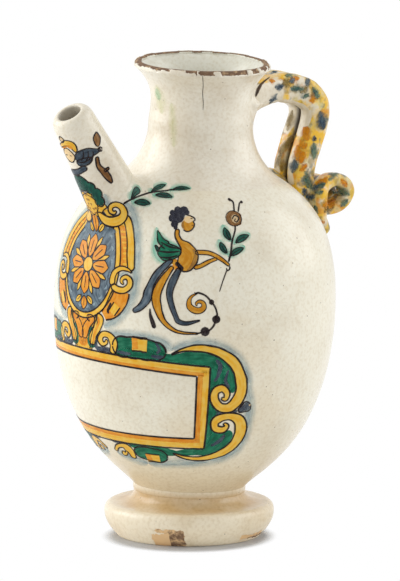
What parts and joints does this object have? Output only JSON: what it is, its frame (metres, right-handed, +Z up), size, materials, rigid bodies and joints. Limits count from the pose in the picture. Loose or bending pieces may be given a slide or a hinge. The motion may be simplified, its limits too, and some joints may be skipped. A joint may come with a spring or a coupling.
{
  "type": "spouted jug",
  "caption": "Ovoid tin-glazed earthenware jug on a disc foot, with a flared neck, a straight slanting spout and a twin-rod curled handle, for storing and pouring syrup.",
  "frame": {"origin": "centre of the flat underside of the foot", "axes": "+Z up, -X along the spout, +X along the handle; the jar above the foot leans 1.8 degrees towards +X and -Y"},
  "size_m": [0.1956, 0.1534, 0.2616],
  "materials": {
    "tin_glaze": "glossy",
    "foot_glaze": "glossy",
    "handle_glaze": "glossy"
  },
  "bodies": {
    "root": {"foot": "foot_glaze", "foot_collar": "foot_glaze", "body": "tin_glaze", "neck": "tin_glaze", "spout": "tin_glaze", "spout_collar": "tin_glaze", "handle_arch": "handle_glaze", "handle_strand_near": "handle_glaze", "handle_strand_far": "handle_glaze", "handle_root": "tin_glaze", "handle_pad": "handle_glaze"}
  },
  "joints": []
}
